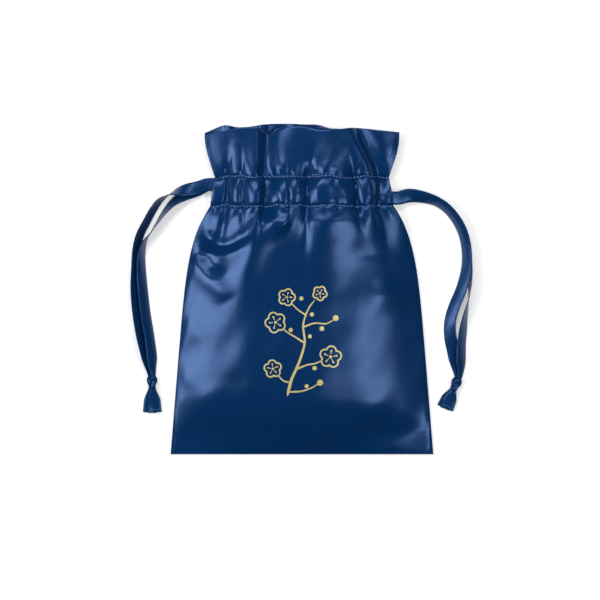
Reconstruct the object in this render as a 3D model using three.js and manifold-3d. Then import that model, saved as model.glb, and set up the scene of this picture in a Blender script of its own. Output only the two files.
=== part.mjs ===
// A satin kinchaku: a drawstring pouch lying on its back with its neck half drawn in.
// Two sewn panels carry a hemmed casing each; two ribbons run through both casings and are tied off.
// Millimetres. +Z up from the table, +Y from the bottom seam to the mouth, +X to the right.
import * as THREE from "three";
import { mergeVertices } from "three/addons/utils/BufferGeometryUtils.js";
import Module from "manifold-3d";

const wasm = await Module();
wasm.setup();

// Pouch, measured flat along its middle
const bottomWidth = 200; // bottom seam, corner to corner
const neckWidth = 139; // drawn in, at the lower row of stitches
const waistWidth = 132; // drawn in, at the upper row of stitches
const rimWidth = 148; // drawn in, at the folded rim
const bodyHeight = 189; // bottom seam to the lower row of stitches
const frillHeight = 38; // upper row of stitches to the folded rim
const backRimRise = 3; // the flat back reaches this much further than the domed front
const clothThickness = 0.8;
const rowWidth = 0.4; // cloth taken up by a row of stitches beside the casing tunnel

// How the lying pouch swells
const crownHeight = 25; // the front's rise above its side seams, at its highest
const neckCrown = 10; // the same at the casing
const rimCrown = 13; // and at the rim
const sideGap = 3; // between the front and back casings where the ribbons come out
const frontPleatDepth = 7;
const backPleatDepth = 5.5;
const fullPleatSpan = 24; // a narrower pleat is shallower in proportion
const frontPleats = [-0.83, -0.42, 0.03, 0.58, 0.84]; // inner folds, as shares of the half width
const backPleats = [-0.78, -0.4, 0, 0.4, 0.78];

// Ribbons
const ribbonWidth = 10;
const ribbonThickness = 0.6;
const ribbonClearance = 0.35; // on each face of a ribbon inside a casing
const laneClearance = 0.4; // between the two ribbons, and between them and the stitches
const casingHeight = 2 * ribbonWidth + 3 * laneClearance + 2 * rowWidth; // stitches to stitches
const seamGap = 0.3; // between pieces that touch
const knotSize = [9, 10, 5]; // across, along and through the tied lump
const knotWrap = 1.5; // radius of the turn that holds the lump
const tailLength = 17;
const tailSpread = 11; // width of the two tails together at their cut ends

// Mesh density
const pleatSteps = 40;
const turnSteps = 6;
const strandSteps = 16;

// Free strands, each from the mouth of its casing to its knot:
// [across, along, lift off the table, degrees that the face is turned]
const leftFrontRoute = [
  [-5.5, -0.2, 6.2, 0], [-12.8, -2.5, 5.2, 4], [-21.3, -3.9, 4, 25], [-29.3, -5.5, 1.8, 62],
  [-35.3, -7.9, 0.6, 90], [-41.3, -12.1, 0.4, 112], [-46.7, -19.5, 0.3, 120], [-51.7, -28.6, 0.3, 122],
  [-56.5, -38.1, 0.3, 124], [-59, -49.1, 0.3, 128], [-59.7, -63.1, 0.3, 132], [-60.1, -79.1, 0.3, 135],
  [-58.7, -97.1, 0.3, 135], [-55.8, -115.1, 0.3, 135], [-52.3, -129.1, 0.3, 137], [-49.8, -139.1, 0.3, 142],
  [-48.5, -145.6, 0.3, 146],
];
const leftBackRoute = [
  [-5.5, -0.2, 0.8, 180], [-12.1, -3.8, 0.5, 186], [-21.1, -7.6, 0.4, 205], [-30.1, -13.2, 0.3, 230],
  [-37, -20.5, 0.2, 245], [-43.1, -29.4, 0.2, 257], [-48.3, -37.2, 0.2, 268], [-52.8, -44.7, 0.2, 288],
  [-55, -54.2, 0.2, 303], [-55.1, -65.2, 0.2, 311], [-54.1, -79.2, 0.2, 317], [-52, -97.2, 0.2, 317],
  [-49.1, -115.2, 0.2, 317], [-47.3, -129.2, 0.2, 319], [-46.7, -139.2, 0.2, 322], [-46.1, -145.7, 0.2, 326],
];
const rightFrontRoute = [
  [5.5, 0.2, 6.2, 0], [12.7, 2.2, 5.2, 6], [22.7, 0.8, 3.6, 28], [32.7, -2.4, 1.8, 48],
  [41.2, -7.8, 1.2, 52], [48.1, -15.8, 1.1, 51], [53, -24.8, 1.1, 50], [55.8, -34.8, 1.1, 49],
  [56.8, -46.8, 1.1, 47], [55.7, -57.8, 1, 42], [52.5, -69.8, 0.5, 36], [47.6, -81.8, 0.2, 33],
  [44.3, -93.8, 0.2, 30], [44.6, -105.8, 0.2, 22], [47.1, -116.8, 0.2, 10], [49.1, -126.8, 0.2, -5],
  [49.9, -136.2, 0.3, -15],
];
const rightBackRoute = [
  [5.5, 0.2, 0.8, 180], [12.4, 1.8, 0.5, 186], [22.6, 1.2, 0.3, 208], [32.8, -1.5, 0.2, 230],
  [41.5, -7, 0.2, 233], [48.6, -15.2, 0.2, 232], [53.6, -24.4, 0.2, 231], [56.5, -34.6, 0.2, 231],
  [57.7, -46.8, 0.2, 233], [58.6, -57.8, 0.2, 242], [59.1, -66.8, 0.2, 258], [58.5, -74.8, 0.2, 270],
  [57.1, -82.8, 0.2, 285], [55.5, -90.8, 0.2, 297], [54.1, -99.8, 0.2, 308], [53, -109.8, 0.2, 313],
  [52.6, -119.8, 0.2, 317], [52.4, -128.8, 0.2, 322], [51.6, -136.2, 0.3, 326],
];
const knotTurn = { left: 2, right: -22 }; // degrees that a knot's tails swing from straight down

// Derived heights
const casingTop = bodyHeight + casingHeight;
const frontHeight = casingTop + frillHeight;
const backHeight = frontHeight + backRimRise;
const middle = backHeight / 2; // the origin lies under the middle of the pouch
const hemThickness = 2 * clothThickness;
const tunnelHeight = ribbonThickness + 2 * ribbonClearance;
const casingThickness = hemThickness + tunnelHeight;
const tunnelDepth = clothThickness + tunnelHeight / 2; // outer face to the middle of the tunnel
const laneOffset = (ribbonWidth + laneClearance) / 2;
const lanes = {
  left: bodyHeight + casingHeight / 2 + laneOffset,
  right: bodyHeight + casingHeight / 2 - laneOffset,
};

// A smooth curve through a few [place, value] pairs.
function smoothThrough(pairs) {
  const places = pairs.map((pair) => pair[0]);
  const values = pairs.map((pair) => pair[1]);
  const curve = new THREE.CubicInterpolant(places, values, 1);
  return (at) => curve.evaluate(THREE.MathUtils.clamp(at, places[0], places.at(-1)))[0];
}

// Half width of the lying pouch: the sides lean in, then sweep to the drawn neck, and the frill flares.
function halfWidth(height) {
  if (height <= bodyHeight) {
    const share = height / bodyHeight;
    const lean = 0.5 * share + 0.5 * share ** 8;
    return bottomWidth / 2 - ((bottomWidth - neckWidth) / 2) * lean;
  }
  if (height <= casingTop) {
    const share = (height - bodyHeight) / casingHeight;
    return THREE.MathUtils.lerp(neckWidth, waistWidth, share) / 2;
  }
  const share = (height - casingTop) / frillHeight;
  return waistWidth / 2 + ((rimWidth - waistWidth) / 2) * Math.sin((Math.min(share, 1) * Math.PI) / 2);
}

// 0 in each inner fold and at the side edges, 1 on the lobes between them; narrow lobes rise less.
function pleatRise(across, folds) {
  const edges = [-1, ...folds, 1];
  const at = THREE.MathUtils.clamp(across, -1, 0.9999);
  const right = edges.findIndex((edge) => edge > at);
  const span = edges[right] - edges[right - 1];
  const share = (at - edges[right - 1]) / span;
  const lobe = Math.min(1, (span * waistWidth) / 2 / fullPleatSpan);
  return lobe * 0.5 * (1 - Math.cos(2 * Math.PI * share));
}

// Each profile runs up the pouch, from the bottom seam to the rim.
const shoulder = 0.78 * bodyHeight; // the side seam ends and the neck's folds begin
const crown = smoothThrough([
  [0, 0], [0.08 * bodyHeight, 7], [0.24 * bodyHeight, 0.76 * crownHeight], [0.52 * bodyHeight, crownHeight],
  [shoulder, 0.78 * crownHeight], [bodyHeight, neckCrown], [casingTop, neckCrown], [frontHeight, rimCrown],
]);
const foldGrowth = smoothThrough([
  [0, 0], [0.45 * bodyHeight, 0], [shoulder, 0.22], [bodyHeight, 1], [casingTop, 1], [backHeight, 0.8],
]);
const sideLift = smoothThrough([
  [0, 0], [0.6 * bodyHeight, 0], [shoulder, 0.12], [bodyHeight, 1], [casingTop, 1], [frontHeight, 0.7],
]);
const bodySeat = 2 * clothThickness + seamGap; // the front's outer face over the seam
const neckSeat = 2 * casingThickness + sideGap; // and over the ribbons' way out

// Thickness of the cloth: one layer in the body, two in the hem, and the tunnel between them in the casing.
function layerThickness(height) {
  if (height < bodyHeight) return clothThickness;
  const fromRow = Math.min(height - bodyHeight, casingTop - height);
  const open = THREE.MathUtils.clamp(fromRow / rowWidth, 0, 1);
  return THREE.MathUtils.lerp(hemThickness, casingThickness, open);
}

// A panel is its outer face as a function of (share of the half width, height), and its side of the pouch.
const frontPanel = {
  height: frontHeight,
  outward: 1,
  outerFace(across, height) {
    const seat = THREE.MathUtils.lerp(bodySeat, neckSeat, Math.max(0, sideLift(height)));
    const dome = crown(height) * (1 - Math.min(1, Math.abs(across)) ** 2.4);
    const fold = frontPleatDepth * Math.max(0, foldGrowth(height)) * pleatRise(across, frontPleats);
    return new THREE.Vector3(across * halfWidth(height), height - middle, seat + dome + fold);
  },
};
const backPanel = {
  height: backHeight,
  outward: -1,
  outerFace(across, height) {
    const fold = backPleatDepth * Math.max(0, foldGrowth(height)) * pleatRise(across, backPleats);
    return new THREE.Vector3(across * halfWidth(height), height - middle, fold);
  },
};

// The outward normal of a panel's outer face.
function outwardNormal(panel, across, height) {
  const step = 1e-3;
  const sideways = panel.outerFace(across + step, height).sub(panel.outerFace(across - step, height));
  const upward = panel.outerFace(across, height + step).sub(panel.outerFace(across, height - step));
  return sideways.cross(upward).normalize().multiplyScalar(panel.outward);
}

// The point that lies the given depth inside a panel's outer face.
function within(panel, across, height, depth) {
  const inward = outwardNormal(panel, across, height).multiplyScalar(-depth);
  return panel.outerFace(across, height).add(inward);
}

function toSolid(geometry) {
  const bare = geometry.clone();
  for (const name of ["normal", "uv"]) bare.deleteAttribute(name);
  const merged = mergeVertices(bare, 1e-4);
  return new wasm.Manifold(
    new wasm.Mesh({
      numProp: 3,
      vertProperties: merged.attributes.position.array,
      triVerts: new Uint32Array(merged.index.array),
    }),
  );
}

function toGeometry(solid) {
  const mesh = solid.getMesh();
  const geometry = new THREE.BufferGeometry();
  geometry.setAttribute("position", new THREE.BufferAttribute(mesh.vertProperties, 3));
  geometry.setIndex(new THREE.BufferAttribute(mesh.triVerts, 1));
  geometry.computeVertexNormals();
  return geometry;
}

// A closed solid skinned over rings of points; every ring has the same count and runs anticlockwise
// seen from the last ring, and the first and last rings are capped.
function loft(rings) {
  const count = rings[0].length;
  const index = [];
  for (let ring = 0; ring + 1 < rings.length; ring++) {
    for (let k = 0; k < count; k++) {
      const here = ring * count + k;
      const next = ring * count + ((k + 1) % count);
      index.push(here, next, next + count, here, next + count, here + count);
    }
  }
  const last = (rings.length - 1) * count;
  const half = count / 2;
  for (let k = 0; k + 1 < half; k++) {
    const far = count - 1 - k;
    index.push(k, far, k + 1, k + 1, far, far - 1);
    index.push(last + k, last + k + 1, last + far, last + k + 1, last + far - 1, last + far);
  }
  const geometry = new THREE.BufferGeometry().setFromPoints(rings.flat());
  geometry.setIndex(index);
  geometry.computeVertexNormals();
  return geometry;
}

// A sheet between two depths of a panel: one ring across the section at each place along the width.
function sheetSolid(panel, acrossList, heightList, outerDepth, innerDepth) {
  const rings = acrossList.map((across) => {
    const outer = heightList.map((height) => within(panel, across, height, outerDepth(height)));
    const inner = heightList.map((height) => within(panel, across, height, innerDepth(height)));
    return panel.outward > 0 ? [...inner, ...outer.reverse()] : [...outer, ...inner.reverse()];
  });
  return toSolid(loft(rings));
}

function evenly(from, to, steps) {
  return Array.from({ length: steps + 1 }, (_, k) => THREE.MathUtils.lerp(from, to, k / steps));
}

// A panel of cloth with its hem turned in, and the casing tunnel left open at both sides.
function panelGeometry(panel) {
  const edge = 0.01; // the step from one layer to two at the lower row of stitches
  const tunnelFoot = bodyHeight + rowWidth;
  const tunnelRoof = casingTop - rowWidth;
  const heights = [
    ...[0, 0.06, 0.14, 0.26, 0.4, 0.55, 0.68, 0.78, 0.86, 0.93].map((share) => share * bodyHeight),
    bodyHeight - edge, bodyHeight,
    ...evenly(tunnelFoot, tunnelRoof, 3),
    ...evenly(casingTop, panel.height, 4),
  ];
  const cloth = sheetSolid(panel, evenly(-1, 1, pleatSteps), heights, () => 0, layerThickness);
  const past = 1 + 4 / pleatSteps;
  const tunnelPlaces = [-past, ...evenly(-1, 1, pleatSteps), past];
  const tunnel = sheetSolid(
    panel, tunnelPlaces, evenly(tunnelFoot, tunnelRoof, 3),
    () => clothThickness, () => clothThickness + tunnelHeight,
  );
  return toGeometry(cloth.subtract(tunnel));
}

// Cross-section of a ribbon: four corners round a middle point, along its width and its face.
function ribbonSection(at, width, face) {
  const alongWidth = width.clone().setLength(ribbonWidth / 2);
  const alongFace = face.clone().setLength(ribbonThickness / 2);
  return [
    at.clone().sub(alongWidth).sub(alongFace),
    at.clone().add(alongWidth).sub(alongFace),
    at.clone().add(alongWidth).add(alongFace),
    at.clone().sub(alongWidth).add(alongFace),
  ];
}

// The ribbon inside a casing, lying in the tunnel at its lane.
function casingRun(panel, lane, from, to) {
  return evenly(from, to, pleatSteps).map((across) => {
    const low = within(panel, across, lane - ribbonWidth / 2, tunnelDepth);
    const high = within(panel, across, lane + ribbonWidth / 2, tunnelDepth);
    const face = outwardNormal(panel, across, lane);
    return ribbonSection(low.clone().lerp(high, 0.5), high.sub(low), face);
  });
}

// The turn round the far side of the neck, from the front casing to the back casing.
function sideTurn(lane, side) {
  const front = within(frontPanel, side, lane, tunnelDepth);
  const back = within(backPanel, side, lane, tunnelDepth);
  const centre = front.clone().lerp(back, 0.5);
  const radius = front.distanceTo(back) / 2;
  return evenly(0, Math.PI, turnSteps).map((angle) => {
    const face = new THREE.Vector3(side * Math.sin(angle), 0, Math.cos(angle));
    const at = centre.clone().addScaledVector(face, radius);
    at.x += side * ribbonClearance;
    return ribbonSection(at, new THREE.Vector3(0, 1, 0), face);
  });
}

// A free strand from the mouth of a casing down to its knot, turning its face as it goes.
function freeStrand(panel, lane, side, route) {
  const mouth = within(panel, side, lane, tunnelDepth);
  const mouthTurn = panel.outward > 0 ? 0 : 180;
  const points = [mouth.clone()];
  const turns = [mouthTurn];
  for (const [across, along, lift, turn] of route) {
    const lean = THREE.MathUtils.degToRad(turn);
    const rest = (ribbonWidth * Math.abs(Math.sin(lean)) + ribbonThickness * Math.abs(Math.cos(lean))) / 2;
    points.push(new THREE.Vector3(mouth.x + across, mouth.y + along, rest + lift));
    turns.push(turn);
  }
  const curve = new THREE.CatmullRomCurve3(points, false, "centripetal");
  const turnAt = smoothThrough(turns.map((turn, k) => [k / (turns.length - 1), turn]));
  const travel = panel.outward > 0 ? -1 : 1;
  const sections = evenly(0, 1, 2 * strandSteps).slice(1).map((share) => {
    const heading = curve.getTangent(share);
    const face = new THREE.Vector3(0, 0, 1);
    face.addScaledVector(heading, -face.dot(heading)).normalize();
    face.applyAxisAngle(heading, THREE.MathUtils.degToRad(turnAt(share)));
    const width = face.clone().cross(heading).multiplyScalar(travel);
    return ribbonSection(curve.getPoint(share), side < 0 ? width : width.negate(), face);
  });
  return { sections, end: curve.getPoint(1) };
}

// One whole ribbon: knot, front strand, front casing, round the far side, back casing, back strand, knot.
function ribbon(side, lane, frontRoute, backRoute) {
  const front = freeStrand(frontPanel, lane, side, frontRoute);
  const back = freeStrand(backPanel, lane, side, backRoute);
  const rings = [
    ...front.sections.reverse(),
    ...casingRun(frontPanel, lane, side, -side),
    ...sideTurn(lane, -side),
    ...casingRun(backPanel, lane, -side, side),
    ...back.sections,
  ];
  const facing = side < 0 ? rings : rings.map((ring) => [...ring].reverse());
  return { geometry: loft(facing), knotPlace: front.end.clone().lerp(back.end, 0.5) };
}

// The tied end: a lump held by one turn of ribbon, with the two cut tails spreading from it.
function knotGeometry() {
  const [across, along, through] = knotSize;
  const lump = new THREE.SphereGeometry(0.5, 16, 10).scale(across * 0.8, along, through);
  const wrap = new THREE.TorusGeometry(across / 2 - knotWrap, knotWrap, 8, 16);
  wrap.scale(1, 1, 1.6).rotateX(Math.PI / 2).scale(1, 1, (through / across) * 1.15).rotateZ(0.5);
  const tailShape = new THREE.Shape();
  tailShape.moveTo(-across * 0.25, 0);
  tailShape.quadraticCurveTo(-tailSpread * 0.5, -tailLength * 0.4, -tailSpread * 0.5, -tailLength);
  tailShape.lineTo(tailSpread * 0.5, -tailLength);
  tailShape.quadraticCurveTo(tailSpread * 0.5, -tailLength * 0.4, across * 0.25, 0);
  const tailThickness = 2 * ribbonThickness;
  const tails = new THREE.ExtrudeGeometry(tailShape, { depth: tailThickness, bevelEnabled: false, curveSegments: 6 });
  tails.translate(0, -along * 0.35, -through / 2);
  return toGeometry(toSolid(lump).add(toSolid(wrap)).add(toSolid(tails)));
}

// Finishes
const satin = new THREE.MeshStandardMaterial({ color: 0x0b2f63, roughness: 0.38, metalness: 0 });
const ribbonSatin = new THREE.MeshStandardMaterial({ color: 0x0c3468, roughness: 0.34, metalness: 0 });

const pouch = new THREE.Group();

function addPiece(name, geometry, material) {
  const piece = new THREE.Mesh(geometry, material);
  piece.name = name;
  pouch.add(piece);
  return piece;
}

addPiece("front_panel", panelGeometry(frontPanel), satin);
addPiece("back_panel", panelGeometry(backPanel), satin);

const drawstrings = {
  left: ribbon(-1, lanes.left, leftFrontRoute, leftBackRoute),
  right: ribbon(1, lanes.right, rightFrontRoute, rightBackRoute),
};
for (const [side, drawn] of Object.entries(drawstrings)) {
  addPiece(`${side}_ribbon`, drawn.geometry, ribbonSatin);
  const knot = addPiece(`${side}_knot`, knotGeometry(), ribbonSatin);
  const place = drawn.knotPlace;
  const swing = THREE.MathUtils.degToRad(knotTurn[side]);
  knot.rotation.z = swing;
  const drop = knotSize[1] / 2 + seamGap;
  const rest = -new THREE.Box3().setFromBufferAttribute(knot.geometry.attributes.position).min.z;
  knot.position.set(place.x + drop * Math.sin(swing), place.y - drop * Math.cos(swing), rest);
}

export default pouch;
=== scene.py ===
import math
import bpy
import numpy as np
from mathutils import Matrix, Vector
from mathutils.bvhtree import BVHTree


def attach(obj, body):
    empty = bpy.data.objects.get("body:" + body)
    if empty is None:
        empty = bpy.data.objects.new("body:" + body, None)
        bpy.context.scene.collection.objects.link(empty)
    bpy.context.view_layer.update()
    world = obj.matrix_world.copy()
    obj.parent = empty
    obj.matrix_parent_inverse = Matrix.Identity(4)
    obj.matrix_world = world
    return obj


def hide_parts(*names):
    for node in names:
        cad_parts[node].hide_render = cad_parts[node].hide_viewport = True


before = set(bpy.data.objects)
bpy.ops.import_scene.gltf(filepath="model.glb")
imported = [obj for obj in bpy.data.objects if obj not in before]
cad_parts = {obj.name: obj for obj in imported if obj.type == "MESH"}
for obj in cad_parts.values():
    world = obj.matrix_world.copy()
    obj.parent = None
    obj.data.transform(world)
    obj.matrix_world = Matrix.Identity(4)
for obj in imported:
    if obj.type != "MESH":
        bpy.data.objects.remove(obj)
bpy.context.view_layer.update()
scene = bpy.context.scene
mm = 0.001
print("frame loaded:", sorted(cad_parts))

# The pouch as it lies: heights run up the cloth from the bottom seam, all in millimetres
pouch = {
    "bottomHalf": 100.0, "neckHalf": 69.5, "waistHalf": 66.0, "rimHalf": 74.0,
    "body": 189.0, "casing": 22.0, "frill": 38.0, "backRise": 3.0,
    "seamHeight": 0.9,  # where front and back are sewn together, off the table
    "sideLift": 8.0,  # the front's side edges at the casing
    "liftFrom": 150.0, "rimDrop": 0.2,  # where the sides start to lift, and how much of it the rim loses
    "lean": 0.5, "sweep": 8,  # how much of the narrowing is straight, and how late the rest comes
    "rimEase": 1.5, "rowSteps": 1201,  # how late the rim's own line takes over, and points along a row
}
uvScale = 0.01
lowerRow = pouch["body"]
upperRow = lowerRow + pouch["casing"]
frontRim = upperRow + pouch["frill"]
backRim = frontRim + pouch["backRise"]
middle = backRim / 2


def spline(at, pairs):  # smooth curve through (place, value) pairs
    px = np.array([p[0] for p in pairs], float)
    py = np.array([p[1] for p in pairs], float)
    slope = np.gradient(py, px)
    at = np.clip(np.asarray(at, float), px[0], px[-1])
    k = np.clip(np.searchsorted(px, at, side="right") - 1, 0, len(px) - 2)
    span = px[k + 1] - px[k]
    q = (at - px[k]) / span
    a = (1 + 2 * q) * (1 - q) ** 2 * py[k] + q * (1 - q) ** 2 * span * slope[k]
    return a + q * q * (3 - 2 * q) * py[k + 1] + q * q * (q - 1) * span * slope[k + 1]


def ramp(low, high, at):  # eases from 0 to 1
    q = np.clip((np.asarray(at, float) - low) / (high - low), 0, 1)
    return q * q * (3 - 2 * q)


def bell(off):
    return np.exp(-0.5 * off ** 2)


def along(line):  # running length at each point of a line
    return np.concatenate([[0], np.cumsum(np.linalg.norm(np.diff(line, axis=0), axis=1))])


def unit(vectors):
    return vectors / np.linalg.norm(vectors, axis=1, keepdims=True)


def halfWidth(t):  # the sides lean in, sweep to the neck, then the frill flares
    t = np.asarray(t, float)
    share = np.clip(t / lowerRow, 0, 1)
    narrowing = pouch["lean"] * share + (1 - pouch["lean"]) * share ** pouch["sweep"]
    body = pouch["bottomHalf"] - (pouch["bottomHalf"] - pouch["neckHalf"]) * narrowing
    q = np.clip((t - lowerRow) / pouch["casing"], 0, 1)
    neck = pouch["neckHalf"] + (pouch["waistHalf"] - pouch["neckHalf"]) * q
    f = np.clip((t - upperRow) / pouch["frill"], 0, 1)
    frill = pouch["waistHalf"] + (pouch["rimHalf"] - pouch["waistHalf"]) * np.sin(f * math.pi / 2)
    return np.where(t <= lowerRow, body, np.where(t <= upperRow, neck, frill))


# Each gather is a groove: its line across the cloth, how deep it is, how far it spreads, and which wall is the broader;
# soft is the share that is a rounded valley, and how wide that is; the rest is a crease
valley = {"soft": (0.6, 2.0), "crease": 0.55}
frontGathers = [
    {"line": [(110, -70), (165, -61), (189, -57), (211, -56), (249, -55)], "lean": 0.2,
     "depth": [(110, 0), (150, 0.8), (172, 3), (189, 5.5), (211, 5.5), (225, 2.6), (240, 0.6), (249, 0)],
     "spread": [(110, 10), (165, 5), (189, 2.4), (211, 2.4), (225, 4), (249, 6)]},
    {"line": [(150, -44), (189, -45), (211, -45), (249, -46)], "lean": 0.1,
     "depth": [(150, 0), (172, 1.2), (189, 3.2), (211, 3.2), (222, 1.4), (236, 0.2), (249, 0)],
     "spread": [(150, 6), (189, 2), (211, 2), (249, 4)]},
    {"line": [(80, -44.1), (140, -34.6), (189, -28.2), (211, -27.6), (249, -26.2)], "lean": -0.45, "soft": (0.85, 1),
     "depth": [(80, 0.1), (140, 0.1), (172, 2.5), (189, 6.8), (211, 6.5), (249, 6.9)],
     "spread": [(80, 14), (140, 8), (189, 4), (211, 5.4), (249, 6.5)]},
    {"line": [(165, -9), (189, -9), (211, -10), (249, -10)], "lean": 0,
     "depth": [(165, 0), (180, 0.8), (189, 2.2), (211, 1.8), (220, 0.6), (232, 0), (249, 0)],
     "spread": [(165, 4), (189, 1.8), (211, 1.8), (249, 3)]},
    {"line": [(110, -1), (160, 2), (189, 4), (211, 5), (249, 12)], "lean": 0.2,
     "depth": [(110, 0), (150, 1.4), (172, 4), (189, 7), (211, 6.5), (224, 2.2), (238, 0.3), (249, 0)],
     "spread": [(110, 10), (160, 6), (189, 2.6), (211, 2.6), (228, 5), (249, 8)]},
    {"line": [(90, 62), (150, 50), (189, 42), (211, 40), (249, 33)], "lean": 0.15,
     "depth": [(110, 0), (135, 0.1), (152, 0.2), (168, 0.9), (179, 2.6), (189, 6), (211, 6), (224, 2), (238, 0.3),
               (249, 0)],
     "spread": [(90, 13), (150, 7), (189, 2.6), (211, 2.6), (228, 4), (249, 7)]},
    {"line": [(120, 71.9), (150, 66.3), (175, 61.7), (189, 57.9), (211, 57.7), (249, 42.4)],
     "lean": -0.35, "soft": (0.8, 1.2),
     "depth": [(110, 0), (130, 0.2), (150, 1.1), (172, 2.8), (189, 5.5), (211, 6), (249, 6)],
     "spread": [(120, 10), (150, 7), (175, 5), (189, 3), (211, 3.6), (249, 4.8)]},
]
backGathers = [
    {"line": [(120, x * 1.2), (189, x), (211, x * 0.97), (252, x * 1.05)],
     "depth": [(120, 0), (160, 0.9), (189, d), (211, d), (252, d * 0.9)],
     "spread": [(120, 10), (160, 6), (189, 3), (211, 3), (252, 4)], "lean": 0.0}
    for x, d in [(-53, 5), (-29, 5.5), (-6, 4.5), (19, 5.5), (43, 5), (58, 3.5)]
]

# How high the rims stand along the width: the front dips in its folds, the back peeks over it
frontRimLine = [(-76, 241.5), (-66, 244), (-53, 246.7), (-37, 248), (-31, 247), (-25.5, 244), (-20, 247), (-14, 248.4),
                (-4, 248.7), (18, 247.4), (29, 247), (40, 248), (50, 247), (73, 244.7), (76, 244.5)]
backRimLine = [(-76, 243.5), (-70, 246), (-58, 250), (-50, 248.6), (-42, 248.8), (-25, 251), (0, 250.8), (14, 250),
               (21, 247.5), (45, 246), (76, 243)]


def grooves(gathers, x, t):
    total = np.zeros_like(np.asarray(x, float))
    for g in gathers:
        off = x - spline(t, g["line"])
        off = off / (spline(t, g["spread"]) * (1 - g["lean"] * np.sign(off)))
        share, wide = g.get("soft", valley["soft"])
        shape = share * bell(off / wide) + (1 - share) * bell(off / valley["crease"])
        total += np.maximum(spline(t, g["depth"]), 0) * shape
    return total


# Soft folds that hang between the gathers: the line of each, its height and spread, and how much of each end tapers off
frontFolds = [
    ([(-77, 176), (-72, 166), (-64, 159), (-54, 160), (-42, 168), (-33, 180)], 2.8, 3.8, (0.3, 0.3)),  # left swag
    ([(-90, 160), (-82, 148), (-72, 136), (-60, 123), (-54, 116)], 2.2, 6, (0.3, 0.45)),  # left arm of the deep fold
    ([(-14, 190), (-23, 175), (-33, 160), (-42, 143), (-49, 128), (-54, 114)], 4.8, 8, (0.2, 0.5)),  # its right arm
    ([(-76, 162), (-69, 148), (-60, 134)], -3.4, 6.2, (0.4, 0.4)),  # hollow between the arms
    ([(6, 192), (11, 174), (24, 154), (43, 133)], 4.2, 15, (0.45, 0.4)),  # broad lobe at the right
    ([(-96, 105), (-84, 97), (-70, 84)], 0.9, 5.5, (0.2, 0.6)),  # small fold at the left edge
    ([(-98, 64), (-86, 57), (-74, 47)], 0.8, 6, (0.2, 0.6)),  # another below it
    ([(-4, 190), (-9, 181), (-14, 173), (-20, 168)], 1.8, 2.8, (0.2, 0.4)),  # pinched ear under the casing
    ([(-30, 112), (-30, 85), (-34, 60)], -0.55, 10.6, (0.3, 0.4)),  # shallow hollow in the middle
    ([(50, 137), (59, 126), (69, 115), (80, 101)], 2.3, 9.5, (0.5, 0.5)),  # swell below the lobe
]
frillFolds = [
    ([(-12.9, 209), (-20.2, 228), (-21, 250)], 1.69, 4.5, (0.3, 0.05)),  # soft pleat left of the middle
    ([(21.5, 209), (18.9, 228), (16.8, 250)], 1.16, 6.7, (0.3, 0.05)),  # broad pleat right of the middle
    ([(61.4, 209), (61.2, 228), (59.2, 250)], 0.23, 4.1, (0.3, 0.05)),  # faint pleat at the right
    ([(-50.4, 209), (-53.3, 225), (-50.8, 240)], 0.52, 3.9, (0.3, 0.3)),  # small pleat at the left
    ([(12.7, 209), (7, 220), (10.2, 232)], 0.64, 3.8, (0.3, 0.5)),  # small pleat by the middle
]
foldSteps = 8  # points on a fold's curve for each one given


def foldHeight(folds, x, t):
    total = np.zeros_like(np.asarray(x, float))
    for points, height, spread, ends in folds:
        line = np.array(points, float)
        places = np.linspace(0, 1, len(line))
        fine = np.linspace(0, 1, foldSteps * len(line))
        line = np.stack([spline(fine, list(zip(places, line[:, k]))) for k in (0, 1)], 1)
        best = np.full_like(total, 1e9)
        share = np.zeros_like(total)
        for k in range(len(line) - 1):
            d = line[k + 1] - line[k]
            q = np.clip(((x - line[k, 0]) * d[0] + (t - line[k, 1]) * d[1]) / (d @ d), 0, 1)
            far = (x - line[k, 0] - q * d[0]) ** 2 + (t - line[k, 1] - q * d[1]) ** 2
            share = np.where(far < best, fine[k] + q * (fine[k + 1] - fine[k]), share)
            best = np.minimum(best, far)
        taper = ramp(0, ends[0], share) * ramp(0, ends[1], 1 - share)
        total += height * taper * np.exp(-0.5 * best / spread ** 2)
    return total


# How high the front swells along its middle, and how full it stays towards its sides
frontCrown = [(0, 0), (6, 3.8), (15, 9.2), (25, 14), (40, 18.2), (60, 20.3), (90, 21), (120, 20.3), (145, 18.6),
              (170, 16.6), (189, 15), (211, 11.8), (230, 9.2), (249, 6.6)]
frontDrum = [(0, 1), (15, 1.2), (30, 2.3), (60, 2.4), (90, 2.3), (120, 2.5), (189, 3.1), (249, 2.9)]
foldFade = {"side": 0.08, "belowRow": 14, "aboveRow": 2, "frill": 6}


def frontSwell(x, t):  # the soft swell that holds the front up, with its gathers
    s = np.clip(np.abs(x) / halfWidth(t), 0, 1)
    lift = ramp(pouch["liftFrom"], lowerRow, t) * (1 - pouch["rimDrop"] * ramp(upperRow, frontRim, t))
    seat = pouch["seamHeight"] + (pouch["sideLift"] - pouch["seamHeight"]) * lift
    crown = spline(t, frontCrown)
    drum = 1 - s ** spline(t, frontDrum)
    return seat + crown * drum - grooves(frontGathers, x, t)


def frontFace(x, t):  # how high the front's outer face starts, before the cloth settles
    s = np.clip(np.abs(x) / halfWidth(t), 0, 1)
    inside = ramp(0, foldFade["side"], 1 - s)
    free = inside * (1 - ramp(lowerRow - foldFade["belowRow"], lowerRow + foldFade["aboveRow"], t))
    frillFree = inside * ramp(upperRow, upperRow + foldFade["frill"], t)
    return frontSwell(x, t) + foldHeight(frontFolds, x, t) * free + foldHeight(frillFolds, x, t) * frillFree


backLie = {"base": 0.6, "seamFrom": 0.93, "foot": 6, "ripple": 0.25, "across": 0.09, "upward": 0.031,
           "rippleFrom": (10, 60), "sideFade": 12}


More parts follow.
